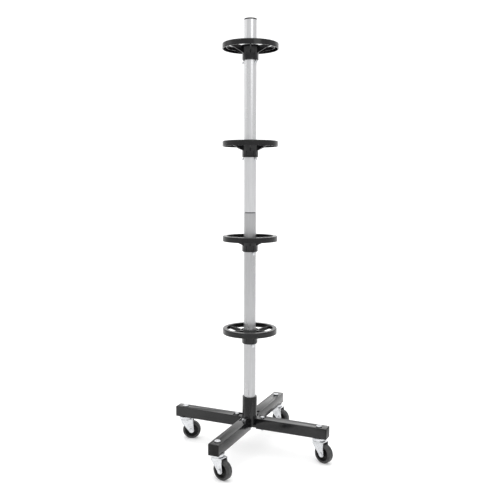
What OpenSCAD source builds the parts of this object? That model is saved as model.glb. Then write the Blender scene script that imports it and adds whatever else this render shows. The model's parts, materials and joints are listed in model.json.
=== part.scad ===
// Rolling four-tier storage stand for wheels.
// A round pole stands in a four-legged base on swivel casters, and carries four moulded discs.
// The origin is on the floor under the pole. Legs point along +X, +Y, -X and -Y.

/* [Pole] */
// Outside diameter of the pole
pole_d = 40; // [38:0.5:42]
// Wall thickness of the pole tube
pole_wall = 1.5; // [1:0.25:2.5]
// Height of the whole stand
total_h = 1416; // [1400:2:1500]
// Height of the joint between the two pole sections
seam_z = 801; // [780:1:900]

/* [Discs] */
// Diameter of each disc
disc_d = 180; // [170:1:200]
// Height of a disc's rim
rim_h = 17.5; // [15:0.5:20]
// Width of a disc's rim, measured along the radius
rim_w = 14; // [12:0.5:18]
// Height of the middle of the lowest rim
first_tier_z = 409.5; // [380:0.5:420]
// Distance from one tier to the next
tier_pitch = 307; // [290:1:310]
// Number of spokes in a disc
spoke_count = 6; // [4:1:8]

/* [Base] */
// Outside width and height of a leg tube
leg_w = 35; // [34:0.5:36]
// Wall thickness of a leg tube
leg_wall = 2.2; // [1.8:0.1:2.4]
// Distance from the pole axis to the end of a leg
leg_reach = 275; // [260:1:300]
// Distance from the pole axis to a caster's swivel axis
caster_reach = 245; // [235:1:250]
// Outside diameter of the pole socket
socket_d = 49; // [48:0.5:52]
// Height of the top of the pole socket
socket_top_z = 184; // [160:1:200]

/* [Casters] */
// Diameter of a caster wheel
wheel_d = 62; // [60:0.5:64]
// Width of a caster tyre
wheel_w = 22; // [20:0.5:23]
// Distance from the swivel axis back to the wheel axis
trail = 21; // [19:0.5:23]
// Height from the floor to the underside of a leg
caster_h = 80; // [80:0.5:84]

/* [Hidden] */
$fn = 64;
pole_r = pole_d / 2;
disc_r = disc_d / 2;
socket_r = socket_d / 2;
wheel_r = wheel_d / 2;

// Base heights
leg_mid_z = caster_h + leg_w / 2;
leg_top_z = caster_h + leg_w;
stub_w = leg_w - 2 * leg_wall - 0.4;
stub_wall = 2.2;
stub_reach = 90;
stub_top_z = leg_mid_z + stub_w / 2;
socket_low_z = caster_h + 3;
floor_plate_t = 3;
pole_low_z = socket_low_z + floor_plate_t;
pole_fit = 0.25;
leg_start = 30;
notch_end = 57;
leg_bolt_at = 47;
plug_t = 2;
plug_depth = 12;

// Pole ends, joining sleeve and cap
seam_gap = 3;
sleeve_half = 60;
sleeve_wall = 2;
cap_t = 4;
cap_depth = 15;
inner_r = pole_r - pole_wall;

// Disc sizes, measured from the underside of the rim
collar_r = socket_r;
collar_drop = 35;
disc_bore_r = pole_r + 0.5;
flare_r = 32;
flare_drop = 17;
rim_skin = 3;
hub_rise = 11;
spoke_t = 5;
gusset_r = 57;
gusset_drop = 15;
spoke_phase = -6.5;

// Fasteners
m6_r = 3;
m8_r = 4;
hole_fit = 0.3;
hex_m6 = 10;
hex_m8 = 13;
m6_head_h = 4;
m8_head_h = 5.3;
m8_nut_h = 6.3;
disc_bolt_tail = 31;
disc_nut_h = 5;
disc_bolt_rest_gap = 0.3;
disc_bolt_angles = [-37, -32, -12, -12];

// Caster sizes, measured from the floor
cup_t = 2.4;
cup_r = 22;
cup_wall = 2.5;
cup_low_z = caster_h - 8.8;
crown_z = caster_h - 12;
crown_t = 2.5;
crown_r = 21;
race_h = 2;
ball_r = 2.4;
ball_ring_r = 14;
ball_count = 12;
ball_z = crown_z + crown_t + 3.6;
kingpin_r = 6.5;
kingpin_flange_r = 9;
fork_t = 2.5;
fork_gap = 25;
fork_tip_r = 9;
axle_head_t = 3.5;
bush_r = 6;
core_r = 23;
tread_round = 5;
caster_nut_z = crown_z - 7.8;
caster_head_r = 9.5;
caster_head_h = 3;

// Direction of each leg, and the way each caster trails at rest
SIDES = ["left", "front", "right", "back"];
LEG_ANGLE = [180, 270, 0, 90];
TRAIL_ANGLE = [21, -15, -21, -6];
TIERS = [0, 1, 2, 3];

function rim_low_z(tier) = first_tier_z + tier * tier_pitch - rim_h / 2;
function disc_bolt_z(tier) = rim_low_z(tier) - collar_drop - hex_m6 / 2 - disc_bolt_rest_gap;

// Points of a quarter circle with its centre at c
function arc(c, r, from, steps = 8) = [
    for (i = [0 : steps]) c + r * [cos(from + 90 * i / steps), sin(from + 90 * i / steps)]
];

module tube(outer, inner, h) {
    difference() {
        cylinder(r = outer, h = h);
        translate([0, 0, -1]) cylinder(r = inner, h = h + 2);
    }
}

module square_tube(from, to, w, wall) {
    translate([from, 0, leg_mid_z]) difference() {
        translate([0, -w / 2, -w / 2]) cube([to - from, w, w]);
        translate([-1, wall - w / 2, wall - w / 2]) cube([to - from + 2, w - 2 * wall, w - 2 * wall]);
    }
}

module hexagon(across_flats, h) {
    cylinder(r = across_flats / sqrt(3), h = h, $fn = 6);
}

module on_legs() {
    for (a = LEG_ANGLE) rotate([0, 0, a]) children();
}

module at_caster(side) {
    rotate([0, 0, LEG_ANGLE[side]]) translate([caster_reach, 0, 0])
        rotate([0, 0, TRAIL_ANGLE[side] - LEG_ANGLE[side]]) children();
}

module at_axle(side) {
    at_caster(side) translate([trail, 0, wheel_r]) rotate([90, 0, 0]) children();
}

// Base

module base_hub() {
    color([0.09, 0.09, 0.1]) {
        difference() {
            union() {
                translate([0, 0, socket_low_z]) cylinder(r = socket_r, h = socket_top_z - socket_low_z);
                on_legs() translate([pole_r, 0, 0]) square_tube(0, stub_reach - pole_r, stub_w, stub_wall);
            }
            translate([0, 0, pole_low_z]) cylinder(r = pole_r + pole_fit, h = total_h);
            on_legs() translate([leg_bolt_at, 0, caster_h]) cylinder(r = m8_r + hole_fit, h = leg_w);
        }
    }
}

module leg(side) {
    color([0.1, 0.1, 0.11]) rotate([0, 0, LEG_ANGLE[side]]) difference() {
        square_tube(leg_start, leg_reach - plug_t, leg_w, leg_wall);
        translate([leg_start - 1, -stub_w / 2, leg_top_z - leg_wall - 0.1])
            cube([notch_end - leg_start + 1, stub_w, leg_wall + 1]);
        translate([leg_bolt_at, 0, caster_h - 1]) cylinder(r = m8_r + hole_fit, h = leg_w / 2);
        translate([caster_reach, 0, caster_h - 1]) cylinder(r = m8_r + hole_fit, h = leg_w + 2);
    }
}

module leg_end_plugs() {
    color([0.05, 0.05, 0.05]) on_legs() {
        translate([leg_reach - plug_t, -leg_w / 2, caster_h]) cube([plug_t, leg_w, leg_w]);
        square_tube(leg_reach - plug_t - plug_depth, leg_reach - plug_t, stub_w, stub_wall);
    }
}

module leg_bolts() {
    color([0.75, 0.76, 0.78]) on_legs() translate([leg_bolt_at, 0, 0]) {
        translate([0, 0, caster_h - 9]) cylinder(r = m8_r, h = stub_top_z - caster_h + 9.5);
        translate([0, 0, stub_top_z]) hexagon(hex_m8, m8_head_h);
    }
}

module leg_nuts() {
    color([0.75, 0.76, 0.78]) on_legs() translate([leg_bolt_at, 0, caster_h - m8_nut_h]) difference() {
        hexagon(hex_m8, m8_nut_h);
        translate([0, 0, -1]) cylinder(r = m8_r, h = m8_nut_h + 2);
    }
}

// Pole

module across_pole(tier) {
    translate([0, 0, disc_bolt_z(tier)]) rotate([0, 0, disc_bolt_angles[tier]]) rotate([0, 90, 0]) children();
}

module pole_section(low, high, tiers) {
    color([0.72, 0.73, 0.75]) difference() {
        translate([0, 0, low]) tube(pole_r, inner_r, high - low);
        for (tier = tiers) across_pole(tier)
            translate([0, 0, -pole_d]) cylinder(r = m6_r + hole_fit, h = 2 * pole_d);
    }
}

module pole_lower() {
    pole_section(pole_low_z, seam_z - seam_gap / 2, [0, 1]);
}

module pole_upper() {
    pole_section(seam_z + seam_gap / 2, total_h - cap_t, [2, 3]);
}

module pole_sleeve() {
    color([0.3, 0.3, 0.32]) translate([0, 0, seam_z - sleeve_half])
        tube(inner_r - 0.05, inner_r - sleeve_wall, 2 * sleeve_half);
}

module pole_cap() {
    color([0.05, 0.05, 0.05]) {
        translate([0, 0, total_h - cap_t]) cylinder(r = pole_r, h = cap_t);
        translate([0, 0, total_h - cap_t - cap_depth]) tube(inner_r - 0.1, inner_r - 2, cap_depth + 1);
    }
}

module disc_bolts() {
    color([0.8, 0.81, 0.83]) for (tier = TIERS) across_pole(tier) {
        translate([0, 0, -disc_bolt_tail]) cylinder(r = m6_r, h = disc_bolt_tail + pole_r + 1);
        translate([0, 0, pole_r]) rotate([0, 0, 30]) hexagon(hex_m6, m6_head_h);
    }
}

module disc_nuts() {
    color([0.8, 0.81, 0.83]) for (tier = TIERS) across_pole(tier)
        translate([0, 0, -pole_r - disc_nut_h]) difference() {
            rotate([0, 0, 30]) hexagon(hex_m6, disc_nut_h);
            translate([0, 0, -1]) cylinder(r = m6_r, h = disc_nut_h + 2);
        }
}

// Discs

module rim() {
    rotate_extrude($fn = 96) polygon([
        [disc_r - rim_w, 0], [disc_r - rim_w + rim_skin, 0],
        [disc_r - rim_w + rim_skin, rim_h - rim_skin], [disc_r - rim_skin, rim_h - rim_skin],
        [disc_r - rim_skin, 0], [disc_r, 0],
        [disc_r, rim_h - 1.5], [disc_r - 1.5, rim_h], [disc_r - rim_w, rim_h]
    ]);
}

module spoke() {
    rotate([90, 0, 0]) translate([0, 0, -spoke_t / 2]) linear_extrude(spoke_t) polygon([
        [collar_r - 2, -gusset_drop], [gusset_r, 0.6], [disc_r - rim_w + 1.5, 0.6],
        [disc_r - rim_w + 1.5, hub_rise - 1], [collar_r - 2, hub_rise - 1]
    ]);
}

module collar() {
    rotate_extrude($fn = 96) polygon([
        [disc_bore_r, -collar_drop], [collar_r, -collar_drop], [collar_r, -flare_drop],
        [flare_r, -1], [flare_r, hub_rise], [disc_bore_r, hub_rise]
    ]);
}

module disc(tier) {
    color([0.06, 0.06, 0.065]) translate([0, 0, rim_low_z(tier)]) {
        rim();
        collar();
        for (i = [0 : spoke_count - 1]) rotate([0, 0, spoke_phase + 360 * i / spoke_count]) spoke();
        for (i = [0 : spoke_count - 1]) rotate([0, 0, spoke_phase + 360 * (i + 0.5) / spoke_count])
            translate([collar_r - 2, -1.25, 1 - collar_drop]) cube([3.2, 2.5, collar_drop - 10]);
    }
}

// Casters

module caster_bolts() {
    color([0.8, 0.81, 0.83]) on_legs() translate([caster_reach, 0, 0]) difference() {
        union() {
            translate([0, 0, caster_nut_z - 0.8]) cylinder(r = m8_r, h = leg_top_z - caster_nut_z + 1);
            translate([0, 0, leg_top_z]) cylinder(r = caster_head_r, h = caster_head_h);
        }
        translate([0, 0, leg_top_z + 1]) hexagon(6, caster_head_h);
    }
}

module caster_nuts() {
    color([0.75, 0.76, 0.78]) on_legs() translate([caster_reach, 0, caster_nut_z]) difference() {
        hexagon(hex_m8, m8_nut_h);
        translate([0, 0, -1]) cylinder(r = m8_r, h = m8_nut_h + 2);
    }
}

module swivel_cups() {
    color([0.78, 0.79, 0.8]) on_legs() translate([caster_reach, 0, 0]) {
        translate([0, 0, caster_h - cup_t]) tube(cup_r, kingpin_r, cup_t);
        translate([0, 0, cup_low_z]) tube(cup_r, cup_r - cup_wall, caster_h - cup_low_z - cup_t + 0.2);
    }
}

module kingpins() {
    color([0.7, 0.71, 0.73]) on_legs() translate([caster_reach, 0, 0]) {
        translate([0, 0, crown_z - 1.5]) tube(kingpin_r, m8_r + 0.15, caster_h - crown_z + 1.5);
        translate([0, 0, crown_z - 1.5]) tube(kingpin_flange_r, m8_r + 0.15, 1.2);
    }
}

module fork_leg() {
    rotate([90, 0, 0]) linear_extrude(fork_t) union() {
        polygon([
            [-15, crown_z + crown_t], [trail + 5, crown_z + crown_t], [trail + 6, crown_z],
            [trail + 8.5, wheel_r + 2], [trail - 5, wheel_r - 6.5], [-15, crown_z - 8]
        ]);
        translate([trail, wheel_r]) circle(r = fork_tip_r, $fn = 48);
    }
}

module fork(side) {
    color([0.8, 0.81, 0.82]) at_caster(side) difference() {
        union() {
            translate([0, 0, crown_z]) cylinder(r = crown_r, h = crown_t);
            translate([-15, -fork_gap / 2 - fork_t, crown_z]) cube([trail + 20, fork_gap + 2 * fork_t, crown_t]);
            translate([0, 0, crown_z]) cylinder(r = ball_ring_r + 3.5, h = crown_t + race_h);
            translate([0, -fork_gap / 2, 0]) fork_leg();
            translate([0, fork_gap / 2 + fork_t, 0]) fork_leg();
        }
        translate([0, 0, crown_z - 1]) cylinder(r = kingpin_r + 0.4, h = 20);
        translate([0, 0, ball_z]) rotate_extrude() translate([ball_ring_r, 0]) circle(r = ball_r + 0.1, $fn = 24);
        translate([trail, fork_gap, wheel_r]) rotate([90, 0, 0]) cylinder(r = m8_r + hole_fit, h = 2 * fork_gap);
    }
}

module balls(side) {
    color([0.85, 0.85, 0.86]) at_caster(side) for (i = [0 : ball_count - 1])
        rotate([0, 0, 360 * i / ball_count]) translate([ball_ring_r, 0, ball_z]) sphere(r = ball_r, $fn = 24);
}

module axle_bolt(side) {
    color([0.75, 0.76, 0.78]) at_axle(side) {
        translate([0, 0, -fork_gap / 2 - fork_t - 7]) cylinder(r = m8_r, h = fork_gap + 2 * fork_t + 7.5);
        translate([0, 0, fork_gap / 2 + fork_t]) hexagon(12, axle_head_t);
    }
}

module axle_nut(side) {
    color([0.75, 0.76, 0.78]) at_axle(side) translate([0, 0, -fork_gap / 2 - fork_t - 5]) difference() {
        hexagon(12, 5);
        translate([0, 0, -1]) cylinder(r = m8_r, h = 7);
    }
}

module wheel_core(side) {
    color([0.07, 0.07, 0.07]) at_axle(side) rotate_extrude() polygon([
        [bush_r, -wheel_w / 2], [10, -wheel_w / 2], [11, -3], [19, -2.5], [20, 3 - wheel_w / 2],
        [core_r, 1 - wheel_w / 2], [core_r, wheel_w / 2 - 1], [20, wheel_w / 2 - 3], [19, 2.5],
        [11, 3], [10, wheel_w / 2], [bush_r, wheel_w / 2]
    ]);
}

module wheel_bush(side) {
    color([0.6, 0.6, 0.62]) at_axle(side) translate([0, 0, -fork_gap / 2 + 0.5])
        tube(bush_r, m8_r + 0.05, fork_gap - 1);
}

module tyre(side) {
    shoulder = wheel_w / 2 - tread_round;
    color([0.05, 0.05, 0.05]) at_axle(side) rotate_extrude($fn = 96) polygon(concat(
        [[core_r, -wheel_w / 2]],
        arc([wheel_r - tread_round, -shoulder], tread_round, -90),
        arc([wheel_r - tread_round, shoulder], tread_round, 0),
        [[core_r, wheel_w / 2]]
    ));
}

base_hub();
for (side = [0 : 3]) leg(side);
leg_end_plugs();
leg_bolts();
leg_nuts();
pole_lower();
pole_upper();
pole_sleeve();
pole_cap();
disc_bolts();
disc_nuts();
for (tier = TIERS) disc(tier);
caster_bolts();
caster_nuts();
swivel_cups();
kingpins();
for (side = [0 : 3]) fork(side);
for (side = [0 : 3]) balls(side);
for (side = [0 : 3]) axle_bolt(side);
for (side = [0 : 3]) axle_nut(side);
for (side = [0 : 3]) wheel_core(side);
for (side = [0 : 3]) wheel_bush(side);
for (side = [0 : 3]) tyre(side);
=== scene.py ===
"""Looks of a rolling four-tier storage stand for wheels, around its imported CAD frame."""
import json
import math

import bmesh
import bpy
from mathutils import Matrix, Vector


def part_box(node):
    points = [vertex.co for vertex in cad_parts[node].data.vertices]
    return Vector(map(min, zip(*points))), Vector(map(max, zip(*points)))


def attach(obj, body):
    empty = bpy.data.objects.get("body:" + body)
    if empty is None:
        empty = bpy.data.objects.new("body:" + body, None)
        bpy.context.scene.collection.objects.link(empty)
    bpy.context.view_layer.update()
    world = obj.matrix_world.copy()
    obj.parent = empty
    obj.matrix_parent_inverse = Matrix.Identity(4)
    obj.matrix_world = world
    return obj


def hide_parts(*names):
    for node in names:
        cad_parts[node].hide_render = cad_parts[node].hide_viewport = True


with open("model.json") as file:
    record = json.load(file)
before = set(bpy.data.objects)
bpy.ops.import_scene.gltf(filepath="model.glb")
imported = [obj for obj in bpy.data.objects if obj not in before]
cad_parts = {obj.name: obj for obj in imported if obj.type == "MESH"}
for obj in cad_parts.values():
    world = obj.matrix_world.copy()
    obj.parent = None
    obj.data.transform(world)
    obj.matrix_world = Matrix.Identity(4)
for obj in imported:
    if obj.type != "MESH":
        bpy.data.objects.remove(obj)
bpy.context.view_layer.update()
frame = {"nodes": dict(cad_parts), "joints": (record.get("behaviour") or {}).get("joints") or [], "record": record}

SIDES = ("left", "front", "right", "back")
TIERS = (1, 2, 3, 4)
# Direction of each disc's bolt across the pole, lowest tier first
DISC_BOLT_ANGLES = (-37, -32, -12, -12)

# Pole sections, in metres
POLE_WALL = 0.0015
POLE_ROUNDING = 0.0004
POLE_ROWS = 12               # rows of faces along a section
POLE_SIDES = 96

# Moulded disc, in metres; heights are measured from the underside of its rim
RIM_HEIGHT = 0.0175
RIM_WIDTH = 0.014
RIM_WALL = 0.0028            # side walls of the channel-section rim
RIM_SKIN = 0.003             # its top wall
RIM_OUTER_ROUND = 0.0018
RIM_INNER_ROUND = 0.001
INNER_LIP = 0.0055           # underside of the rim's inner wall
COLLAR_RADIUS = 0.0245
COLLAR_BORE = 0.0205
COLLAR_SIDES = 96
HUB_RADIUS = 0.0318          # outside of the flare above the collar
HUB_RISE = 0.0108
HUB_FLARE = ((COLLAR_RADIUS, -0.017), (0.0265, -0.011), (0.0295, -0.004), (HUB_RADIUS, 0.003))
GROOVE_DEPTH = 0.003         # ring groove in the hub's top
GROOVE_OUTER = 0.0285
GROOVE_INNER = COLLAR_BORE + 0.0025
SPOKES = 6
SPOKE_PHASE = -6.5           # degrees
SPOKE_WIDTH = 0.004
SPOKE_ROOT = 0.0310          # radius at which a spoke leaves the hub
SPOKE_BELLY = ((SPOKE_ROOT, -0.0115), (0.0400, -0.0075), (0.0490, -0.0035), (0.0560, 0.0002))
SPOKE_TIP = (0.0055, 0.0135)
SPOKE_BACK = ((0.0600, 0.0118), (SPOKE_ROOT, 0.0098))
SPOKE_BITE = 0.0006          # how far a spoke runs into the rim
GUSSET = ((0.0240, -0.0155), (0.0330, -0.0106), (0.0330, 0.004), (0.0240, 0.004))
RIB_WIDTH = 0.0022           # upright ribs on the collar, between the spokes
RIB_DEPTH = 0.0012
RIB_ROOT = 0.0235
RIB_TOP = -0.012
RIB_LIFT = 0.001             # rib's foot above the collar's edge
DISC_ROUNDING = 0.0006

# Weld beads where the hub's square stubs meet its socket, in metres
WELD_RADIUS = 0.0246         # bead's centre line, from the pole's axis
WELD_SIZE = 0.0013
WELD_RIPPLE = 0.18
WELD_STEPS = 14              # points along each side of a stub
WELD_INSET = 0.985
STUB_INSET = 0.0024          # from the outside of a leg to the stub within it

# Moulded lines on a caster tyre, in metres
TREAD_LINE_INSET = 0.0004
TREAD_LINE_SIZE = 0.0003
SIDEWALL_OFFSET = 0.0110
SIDEWALL_RIB_INSET = 0.0068
SIDEWALL_RIB_SIZE = 0.0005
TYRE_SIDES = 96

# Threads at the tail of each disc bolt, in metres
BOLT_DROP = 0.0053           # bolt's axis below the collar
THREAD_START = 0.0258        # first crest, from the pole's axis
THREAD_PITCH = 0.001
THREAD_CRESTS = 5
THREAD_RADIUS = 0.0029
THREAD_SIZE = 0.0003

# Cleaning and rounding of the CAD meshes
MERGE_DISTANCE = 1e-5
FLAT_ANGLE = 1               # degrees
SHARP_ANGLE = 34             # degrees
BEVEL_SEGMENTS = 2

# Camera: distance from the pole and height in metres, angles in degrees
CAM_DISTANCE = 2.191
CAM_HEIGHT = 0.910
CAM_AZIMUTH = 23.48
CAM_PITCH = 6.05             # downward tilt
CAM_ROLL = 0.14
CAM_FOCAL_RATIO = 1.339      # focal length over sensor width
CAM_CLIP_END = 60
SENSOR = 36.0

# Floor, in metres along the camera's direction from the pole
FLOOR_HALF_WIDTH = 14.0
FLOOR_FRONT = -9.0
FLOOR_BACK = 3.0             # where the floor starts to curve up
FLOOR_BEND = 6.0
FLOOR_WALL_TOP = 12.0
FLOOR_BEND_STEPS = 12

# Light
WORLD_BRIGHTNESS = 0.85
UPPER_POLE = (0, 0, 1.25)    # what the key lamps face, in metres


# ---------------------------------------------------------------- materials

class Shade:
    """A node material with a few helpers, so that each surface is a short recipe."""

    def __init__(self, name, color, rough, metal=0.0, **sockets):
        self.mat = bpy.data.materials.new(name)
        self.mat.use_nodes = True
        self.tree = self.mat.node_tree
        self.bsdf = self.tree.nodes["Principled BSDF"]
        self.bsdf.inputs["Base Color"].default_value = (*color, 1)
        self.bsdf.inputs["Roughness"].default_value = rough
        self.bsdf.inputs["Metallic"].default_value = metal
        for key, value in sockets.items():
            self.bsdf.inputs[key.replace("_", " ")].default_value = value
        self.coord = self.node("ShaderNodeTexCoord")
        self.height = None

    def node(self, kind, **values):
        made = self.tree.nodes.new(kind)
        for key, value in values.items():
            if key in made.inputs:
                made.inputs[key].default_value = value
            else:
                setattr(made, key, value)
        return made

    def link(self, a, b):
        self.tree.links.new(a, b)

    def mapped(self, scale=(1, 1, 1)):
        mapping = self.node("ShaderNodeMapping")
        mapping.inputs["Scale"].default_value = scale
        self.link(self.coord.outputs["Object"], mapping.inputs["Vector"])
        return mapping.outputs["Vector"]

    def noise(self, size, detail=4.0, stretch=(1, 1, 1), rough=0.55):
        """Noise whose features measure about size metres."""
        made = self.node("ShaderNodeTexNoise", Scale=1.0 / size, Detail=detail, Roughness=rough)
        self.link(self.mapped(stretch), made.inputs["Vector"])
        return made.outputs["Fac"]

    def remap(self, value, low, high, to_low, to_high):
        made = self.node("ShaderNodeMapRange")
        for index, number in enumerate((low, high, to_low, to_high), start=1):
            made.inputs[index].default_value = number
        self.link(value, made.inputs[0])
        return made.outputs[0]

    def vary_color(self, value, dark, light, low=0.35, high=0.65):
        """Spread the base colour between two tones, as the value goes from low to high."""
        ramp = self.node("ShaderNodeValToRGB")
        ramp.color_ramp.elements[0].position = low
        ramp.color_ramp.elements[0].color = (*dark, 1)
        ramp.color_ramp.elements[1].position = high
        ramp.color_ramp.elements[1].color = (*light, 1)
        self.link(value, ramp.inputs[0])
        self.link(ramp.outputs[0], self.bsdf.inputs["Base Color"])

    def vary_rough(self, value, low, high):
        self.link(self.remap(value, 0.3, 0.7, low, high), self.bsdf.inputs["Roughness"])

    def bump(self, value, depth, strength):
        """Raise the surface by up to depth metres, on top of any earlier bump."""
        made = self.node("ShaderNodeBump", Strength=strength, Distance=depth)
        if self.height is not None:
            self.link(self.height, made.inputs["Normal"])
        self.link(value, made.inputs["Height"])
        self.height = made.outputs[0]
        self.link(self.height, self.bsdf.inputs["Normal"])


def powder_coat():
    """Satin black powder coat with a fine orange-peel skin."""
    shade = Shade("frame_paint", (0.004, 0.004, 0.0045), 0.2, Specular_IOR_Level=0.42)
    shade.vary_color(shade.noise(0.05, 4), (0.002, 0.002, 0.0024), (0.006, 0.006, 0.0065))
    shade.vary_rough(shade.noise(0.015, 4), 0.14, 0.24)
    shade.bump(shade.noise(0.0012, 2), 0.00006, 0.4)
    return shade.mat


def pole_metal(name, tone):
    """Satin silver tube: fine drawing lines along the pole over soft blotches."""
    color = (tone, tone * 1.005, tone * 1.02)
    shade = Shade(name, color, 0.3, 0.9)
    lines = shade.noise(0.0012, 3, (1, 1, 0.01))
    shade.vary_color(lines, tuple(c * 0.92 for c in color), tuple(c * 1.06 for c in color), 0.3, 0.7)
    shade.vary_rough(shade.noise(0.03, 3, (1, 1, 0.2)), 0.24, 0.38)
    shade.bump(lines, 0.00004, 0.25)
    return shade.mat


def disc_plastic():
    """Moulded black plastic with a low gloss and a faint grain."""
    shade = Shade("disc_plastic", (0.004, 0.004, 0.0045), 0.22, Specular_IOR_Level=0.36)
    shade.vary_color(shade.noise(0.02, 4), (0.002, 0.002, 0.0024), (0.005, 0.005, 0.0055))
    shade.vary_rough(shade.noise(0.008, 4), 0.16, 0.28)
    shade.bump(shade.noise(0.0007, 3), 0.00005, 0.3)
    return shade.mat


def black_plastic(name, rough):
    """Matt moulded plastic."""
    shade = Shade(name, (0.008, 0.008, 0.008), rough, Specular_IOR_Level=0.2)
    shade.vary_color(shade.noise(0.01, 4), (0.006, 0.006, 0.006), (0.012, 0.012, 0.012))
    shade.vary_rough(shade.noise(0.004, 3), rough - 0.06, rough + 0.06)
    shade.bump(shade.noise(0.0006, 2), 0.00006, 0.4)
    return shade.mat


def zinc(name, color, rough, spangle):
    """Bright zinc plate: small soft patches of tone, and fine scratches."""
    shade = Shade(name, color, rough, 0.9)
    dark = tuple(c * 0.8 for c in color)
    shade.vary_color(shade.noise(spangle, 4), dark, color)
    shade.vary_rough(shade.noise(spangle * 0.6, 3), rough - 0.06, rough + 0.09)
    shade.bump(shade.noise(0.001, 3, (1, 0.2, 1)), 0.00003, 0.3)
    return shade.mat


def tyre_rubber():
    """Near-black rubber with a dusty, fine-grained tread."""
    shade = Shade("tyre_rubber", (0.008, 0.008, 0.0085), 0.45, Specular_IOR_Level=0.35)
    shade.vary_color(shade.noise(0.008, 5), (0.026, 0.026, 0.027), (0.055, 0.055, 0.056))
    shade.vary_rough(shade.noise(0.004, 4), 0.36, 0.56)
    shade.bump(shade.noise(0.0009, 4), 0.00008, 0.5)
    return shade.mat


# One material for each slot of the record, and a darker copy of the pole's silver for its lower section: painted
# shade
MATERIALS = {
    "frame_paint": powder_coat(),
    "pole_silver": pole_metal("pole_silver", 0.64),
    # Darker copy of the same silver for the pole's lower section: painted shade
    "pole_silver_painted_shade": pole_metal("pole_silver_painted_shade", 0.45),
    # The sleeve is coloured near black so that the pole's seam gap shows a dark line: painted shade
    "sleeve_steel": zinc("sleeve_steel", (0.05, 0.05, 0.055), 0.4, 0.01),
    "zinc": zinc("zinc", (0.7, 0.71, 0.73), 0.26, 0.006),
    "caster_zinc": zinc("caster_zinc", (0.7, 0.71, 0.73), 0.22, 0.008),
    "ball_steel": zinc("ball_steel", (0.7, 0.7, 0.72), 0.15, 0.01),
    "black_plastic": black_plastic("black_plastic", 0.45),
    "disc_plastic": disc_plastic(),
    "wheel_plastic": black_plastic("wheel_plastic", 0.38),
    "tyre_rubber": tyre_rubber(),
}


# ---------------------------------------------------------------- finer meshes

SLOT_OF = {row["node"]: row["material_slot"] for row in frame["record"]["subparts"]}
BODY_OF = {node: body for body, nodes in frame["record"]["behaviour"]["bodies"].items() for node in nodes}

# Edge rounding of each kind of piece, in metres
ROUNDING = {
    "leg_left": 0.0022, "leg_front": 0.0022, "leg_right": 0.0022, "leg_back": 0.0022,
    "leg_end_plugs": 0.0012, "base_hub": 0.0008, "pole_cap": 0.0004,
    "leg_bolts": 0.0005, "leg_nuts": 0.0005, "disc_bolts": 0.0005, "disc_nuts": 0.0005,
    "caster_bolts": 0.0011, "caster_nuts": 0.0005, "swivel_cups": 0.0009,
    **{f"fork_{side}": 0.0008 for side in SIDES},
    **{f"axle_bolt_{side}": 0.0006 for side in SIDES},
    **{f"axle_nut_{side}": 0.0006 for side in SIDES},
    **{f"wheel_core_{side}": 0.0007 for side in SIDES},
}


def dress_frame():
    """Give every CAD node the material of its slot."""
    for name, obj in frame["nodes"].items():
        material = MATERIALS[SLOT_OF[name]]
        if not obj.material_slots:
            obj.data.materials.append(material)
        for slot in obj.material_slots:
            slot.material = material


def add_piece(name, mesh, body, slot):
    """Turn a bmesh into an object that rides on a body and wears a slot's material."""
    data = bpy.data.meshes.new(name)
    mesh.to_mesh(data)
    mesh.free()
    piece = bpy.data.objects.new(name, data)
    bpy.context.collection.objects.link(piece)
    data.materials.append(MATERIALS[slot])
    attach(piece, body)
    return piece


def soften(piece, width):
    """Round the sharp edges of a piece, with normals that keep its flat faces flat."""
    bevel = piece.modifiers.new("rounding", "BEVEL")
    bevel.width = width
    bevel.segments = BEVEL_SEGMENTS
    bevel.limit_method = "ANGLE"
    bevel.angle_limit = math.radians(SHARP_ANGLE)
    bevel.use_clamp_overlap = True
    bevel.harden_normals = True


def round_edges(node, width):
    """Stand in for a CAD node with the same mesh, cleaned into flat faces and rounded at its edges."""
    mesh = bmesh.new()
    mesh.from_mesh(frame["nodes"][node].data)
    bmesh.ops.remove_doubles(mesh, verts=mesh.verts, dist=MERGE_DISTANCE)
    bmesh.ops.dissolve_limit(mesh, angle_limit=math.radians(FLAT_ANGLE), verts=mesh.verts, edges=mesh.edges)
    for face in mesh.faces:
        face.smooth = True
        face.material_index = 0
    piece = add_piece(node + "_fine", mesh, BODY_OF[node], SLOT_OF[node])
    soften(piece, width)
    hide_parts(node)


def lathe(mesh, profile, height, steps=120):
    """Spin a closed outline of (radius, height) points about the pole."""
    loops = []
    for i in range(steps):
        turn = 2 * math.pi * i / steps
        loops.append([
            mesh.verts.new((r * math.cos(turn), r * math.sin(turn), height + z)) for r, z in profile
        ])
    for i in range(steps):
        a, b = loops[i], loops[(i + 1) % steps]
        for j in range(len(profile)):
            k = (j + 1) % len(profile)
            mesh.faces.new((a[j], b[j], b[k], a[k]))


def pole_tube(node, look):
    """A smooth round tube for a pole section. Bolt heads and nuts cover the places of its cross holes."""
    low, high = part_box(node)
    outer = (high.x - low.x) / 2
    inner = outer - POLE_WALL
    length = high.z - low.z
    mesh = bmesh.new()
    rows = [length * i / POLE_ROWS for i in range(1, POLE_ROWS)]
    outline = [(inner, 0.0), (outer, 0.0)] + [(outer, z) for z in rows]
    outline += [(outer, length), (inner, length)] + [(inner, z) for z in reversed(rows)]
    lathe(mesh, outline, low.z, POLE_SIDES)
    bmesh.ops.recalc_face_normals(mesh, faces=mesh.faces)
    for face in mesh.faces:
        face.smooth = True
    piece = add_piece(node + "_fine", mesh, BODY_OF[node], SLOT_OF[node])
    piece.data.materials[0] = MATERIALS[look]
    soften(piece, POLE_ROUNDING)
    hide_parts(node)


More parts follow.
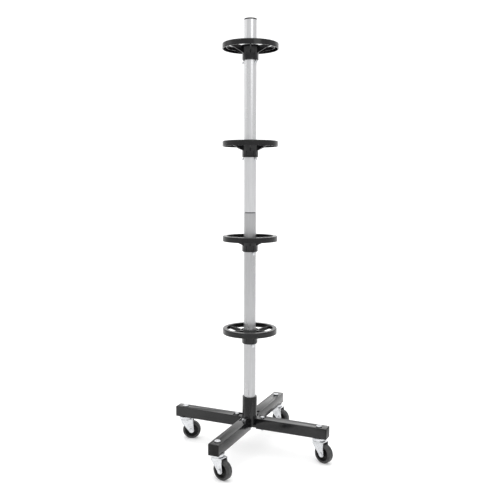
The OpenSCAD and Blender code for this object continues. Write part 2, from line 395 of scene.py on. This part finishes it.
def plate(mesh, outline, thickness, turn, height):
    """A flat radial plate: an outline of (radius, height) points, given a thickness."""
    spin = Matrix.Rotation(turn, 3, "Z")
    sides = []
    for sign in (-1, 1):
        sides.append([
            mesh.verts.new(spin @ Vector((r, sign * thickness / 2, 0)) + Vector((0, 0, height + z)))
            for r, z in outline
        ])
    mesh.faces.new(sides[0])
    mesh.faces.new(list(reversed(sides[1])))
    for j in range(len(outline)):
        k = (j + 1) % len(outline)
        mesh.faces.new((sides[0][k], sides[0][j], sides[1][j], sides[1][k]))


def moulded_disc(tier):
    """A moulded disc: channel-section rim, flared collar, spokes, gussets and collar ribs."""
    node = f"disc_{tier}"
    low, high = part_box(node)
    outer = (high.x - low.x) / 2
    top = high.z
    base = top - RIM_HEIGHT
    drop = low.z - base
    inner = outer - RIM_WIDTH
    mesh = bmesh.new()
    lathe(mesh, [
        (outer - RIM_WALL, 0.0), (outer, 0.0), (outer, RIM_HEIGHT - RIM_OUTER_ROUND),
        (outer - RIM_OUTER_ROUND, RIM_HEIGHT), (inner + RIM_INNER_ROUND, RIM_HEIGHT),
        (inner, RIM_HEIGHT - RIM_INNER_ROUND), (inner, INNER_LIP), (inner + RIM_WALL, INNER_LIP),
        (inner + RIM_WALL, RIM_HEIGHT - RIM_SKIN), (outer - RIM_WALL, RIM_HEIGHT - RIM_SKIN),
    ], base)
    lathe(mesh, [
        (COLLAR_BORE, drop), (COLLAR_RADIUS, drop), *HUB_FLARE, (HUB_RADIUS, HUB_RISE),
        (GROOVE_OUTER, HUB_RISE), (GROOVE_OUTER, HUB_RISE - GROOVE_DEPTH),
        (GROOVE_INNER, HUB_RISE - GROOVE_DEPTH), (GROOVE_INNER, HUB_RISE), (COLLAR_BORE, HUB_RISE),
    ], base, COLLAR_SIDES)
    tip = inner + SPOKE_BITE
    rib_face = COLLAR_RADIUS + RIB_DEPTH
    rib_foot = drop + RIB_LIFT
    for i in range(SPOKES):
        turn = math.radians(SPOKE_PHASE) + 2 * math.pi * i / SPOKES
        spoke = [*SPOKE_BELLY, (tip, SPOKE_TIP[0]), (tip, SPOKE_TIP[1]), *SPOKE_BACK]
        rib = [(RIB_ROOT, rib_foot), (rib_face, rib_foot), (rib_face, RIB_TOP), (RIB_ROOT, RIB_TOP)]
        plate(mesh, spoke, SPOKE_WIDTH, turn, base)
        plate(mesh, GUSSET, SPOKE_WIDTH, turn, base)
        plate(mesh, rib, RIB_WIDTH, turn + math.pi / SPOKES, base)
    bmesh.ops.recalc_face_normals(mesh, faces=mesh.faces)
    for face in mesh.faces:
        face.smooth = True
    piece = add_piece(node + "_fine", mesh, BODY_OF[node], SLOT_OF[node])
    soften(piece, DISC_ROUNDING)
    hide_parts(node)


def ring(mesh, frame_at, radius, thickness, sides=64, section=8):
    """Add a torus to a bmesh, in the local frame frame_at, around its Z axis."""
    loops = []
    for i in range(sides):
        turn = 2 * math.pi * i / sides
        loop = []
        for j in range(section):
            roll = 2 * math.pi * j / section
            reach = radius + thickness * math.cos(roll)
            spot = Vector((reach * math.cos(turn), reach * math.sin(turn), thickness * math.sin(roll)))
            loop.append(mesh.verts.new(frame_at @ spot))
        loops.append(loop)
    for i in range(sides):
        a, b = loops[i], loops[(i + 1) % sides]
        for j in range(section):
            k = (j + 1) % section
            mesh.faces.new((a[j], b[j], b[k], a[k])).smooth = True


def bead(mesh, path, thickness, section=6):
    """Add a closed rippled tube along a closed path of points."""
    loops = []
    count = len(path)
    for i, spot in enumerate(path):
        ahead = (path[(i + 1) % count] - path[i - 1]).normalized()
        upright = abs(ahead.z) > 0.9
        side = (ahead.orthogonal() if upright else ahead.cross(Vector((0, 0, 1)))).normalized()
        up = ahead.cross(side)
        swell = thickness * (1 + WELD_RIPPLE * math.sin(i * 2.1))
        loops.append([
            mesh.verts.new(spot + side * swell * math.cos(2 * math.pi * j / section)
                           + up * swell * math.sin(2 * math.pi * j / section))
            for j in range(section)
        ])
    for i in range(count):
        a, b = loops[i], loops[(i + 1) % count]
        for j in range(section):
            k = (j + 1) % section
            mesh.faces.new((a[j], a[k], b[k], b[j])).smooth = True


def square_outline(half, steps):
    """Points around a square of the given half width, as (across, up), with steps points a side."""
    ramp = [-half + 2 * half * i / steps for i in range(steps)]
    return (
        [(run, half) for run in ramp] + [(half, -run) for run in ramp]
        + [(-run, -half) for run in ramp] + [(-half, run) for run in ramp]
    )


def hub_welds():
    """Weld beads where the four square stubs meet the round socket."""
    leg_low, leg_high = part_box("leg_left")
    stub_half = (leg_high.z - leg_low.z) / 2 - STUB_INSET
    middle = (leg_high.z + leg_low.z) / 2
    mesh = bmesh.new()
    for quarter in range(4):
        spin = Matrix.Rotation(math.pi / 2 * quarter, 3, "Z")
        path = []
        for across, up in square_outline(stub_half, WELD_STEPS):
            across = across * WELD_INSET
            reach = math.sqrt(WELD_RADIUS * WELD_RADIUS - across * across)
            path.append(spin @ Vector((reach, across, 0)) + Vector((0, 0, middle + up * WELD_INSET)))
        bead(mesh, path, WELD_SIZE)
    add_piece("hub_welds", mesh, "stand", "frame_paint")


def axle_frame(side):
    """Local frame of a wheel, with Z along its axle."""
    joint = next(j for j in frame["joints"] if j["name"] == f"wheel_roll_{side}")
    axis = Vector(joint["axis"]).normalized()
    turn = Vector((0, 0, 1)).rotation_difference(axis).to_matrix().to_4x4()
    return Matrix.Translation(joint["pos_m"]) @ turn


def tyre_details(side):
    """Parting line and two sidewall ribs on a caster tyre."""
    place = axle_frame(side)
    low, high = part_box(f"tyre_{side}")
    outer = (high.z - low.z) / 2
    mesh = bmesh.new()
    ring(mesh, place, outer - TREAD_LINE_INSET, TREAD_LINE_SIZE, TYRE_SIDES)
    for sign in (-1, 1):
        sidewall = place @ Matrix.Translation((0, 0, sign * SIDEWALL_OFFSET))
        ring(mesh, sidewall, outer - SIDEWALL_RIB_INSET, SIDEWALL_RIB_SIZE, TYRE_SIDES)
    add_piece(f"tyre_ribs_{side}", mesh, f"wheel_{side}", "tyre_rubber")


def bolt_threads():
    """Thread crests on the tail of each disc bolt, beyond its nut."""
    mesh = bmesh.new()
    for tier, angle in zip(TIERS, DISC_BOLT_ANGLES):
        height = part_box(f"disc_{tier}")[0].z - BOLT_DROP
        turn = Matrix.Rotation(math.radians(angle), 4, "Z") @ Matrix.Rotation(math.radians(90), 4, "Y")
        bolt = Matrix.Translation((0, 0, height)) @ turn
        for i in range(THREAD_CRESTS):
            crest = bolt @ Matrix.Translation((0, 0, -THREAD_START - THREAD_PITCH * i))
            ring(mesh, crest, THREAD_RADIUS, THREAD_SIZE, sides=24, section=6)
    add_piece("disc_bolt_threads", mesh, "stand", "zinc")


# ---------------------------------------------------------------- stage

def make_floor():
    """A pale floor that curves up into a wall far behind the stand."""
    mesh = bmesh.new()
    profile = [(FLOOR_FRONT, 0.0)]
    for step in range(FLOOR_BEND_STEPS + 1):
        turn = math.radians(90 * step / FLOOR_BEND_STEPS)
        profile.append((FLOOR_BACK + FLOOR_BEND * math.sin(turn), FLOOR_BEND * (1 - math.cos(turn))))
    profile.append((FLOOR_BACK + FLOOR_BEND, FLOOR_WALL_TOP))
    direction = math.radians(CAM_AZIMUTH)
    away = Vector((-math.sin(direction), math.cos(direction), 0))
    across = Vector((math.cos(direction), math.sin(direction), 0))
    rows = []
    for depth, height in profile:
        place = away * depth + Vector((0, 0, height))
        rows.append([mesh.verts.new(place + across * side * FLOOR_HALF_WIDTH) for side in (-1, 1)])
    for near, far in zip(rows, rows[1:]):
        mesh.faces.new((near[0], near[1], far[1], far[0])).smooth = True
    data = bpy.data.meshes.new("floor")
    mesh.to_mesh(data)
    mesh.free()
    floor = bpy.data.objects.new("floor", data)
    bpy.context.collection.objects.link(floor)
    shade = Shade("floor", (0.93, 0.93, 0.93), 0.8, Emission_Color=(1, 1, 1, 1), Emission_Strength=0.16)
    shade.vary_color(shade.noise(0.8, 2), (0.925, 0.925, 0.925), (0.94, 0.94, 0.94))
    data.materials.append(shade.mat)


def area_light(name, place, target, size, power):
    """A rectangular lamp at a place, facing a target; size in metres, power in watts."""
    data = bpy.data.lights.new(name, "AREA")
    data.shape = "RECTANGLE"
    data.size, data.size_y = size
    data.energy = power
    lamp = bpy.data.objects.new(name, data)
    lamp.location = place
    lamp.rotation_euler = (Vector(target) - Vector(place)).to_track_quat("-Z", "Y").to_euler()
    bpy.context.collection.objects.link(lamp)


def around(azimuth, distance, height):
    """A point at a direction in degrees and a distance from the pole, at a height."""
    turn = math.radians(azimuth)
    return (distance * math.sin(turn), -distance * math.cos(turn), height)


def light_scene():
    """An even white studio, with two keys that shape the pole and one lamp that clears the wall."""
    world = bpy.data.worlds.new("studio")
    world.use_nodes = True
    world.node_tree.nodes["Background"].inputs[0].default_value = (1, 1, 1, 1)
    world.node_tree.nodes["Background"].inputs[1].default_value = WORLD_BRIGHTNESS
    bpy.context.scene.world = world
    right = CAM_AZIMUTH + 28
    left = CAM_AZIMUTH - 95
    behind = CAM_AZIMUTH + 180
    area_light("overhead", (0, 0, 3.6), (0, 0, 0), size=(3.0, 3.0), power=60)
    area_light("key_right", around(right, 2.6, 2.3), UPPER_POLE, size=(1.3, 1.4), power=10)
    area_light("key_left", around(left, 2.6, 2.2), UPPER_POLE, size=(1.2, 1.6), power=4)
    area_light("backdrop", around(behind, 1.5, 3.4), around(behind, 8, 2.5), size=(3.0, 2.0), power=120)


def place_camera():
    """The camera of the main view, set by its distance, height and direction from the pole."""
    data = bpy.data.cameras.new("camera")
    data.sensor_width = SENSOR
    data.lens = SENSOR * CAM_FOCAL_RATIO
    data.clip_end = CAM_CLIP_END
    camera = bpy.data.objects.new("camera", data)
    turn = Matrix.Rotation(math.radians(CAM_AZIMUTH), 4, "Z")
    tilt = Matrix.Rotation(math.radians(90 - CAM_PITCH), 4, "X")
    roll = Matrix.Rotation(math.radians(CAM_ROLL), 4, "Z")
    spot = Matrix.Translation(around(CAM_AZIMUTH, CAM_DISTANCE, CAM_HEIGHT))
    camera.matrix_world = spot @ turn @ tilt @ roll
    bpy.context.collection.objects.link(camera)
    bpy.context.scene.camera = camera


place_camera()
make_floor()
light_scene()
dress_frame()
for node_name, width in ROUNDING.items():
    round_edges(node_name, width)
for tier_number in TIERS:
    moulded_disc(tier_number)
# The lower section wears the darker copy of the silver: painted shade
pole_tube("pole_lower", "pole_silver_painted_shade")
pole_tube("pole_upper", "pole_silver")
hub_welds()
bolt_threads()
for side_name in SIDES:
    tyre_details(side_name)

bpy.context.scene.view_settings.view_transform = "Standard"
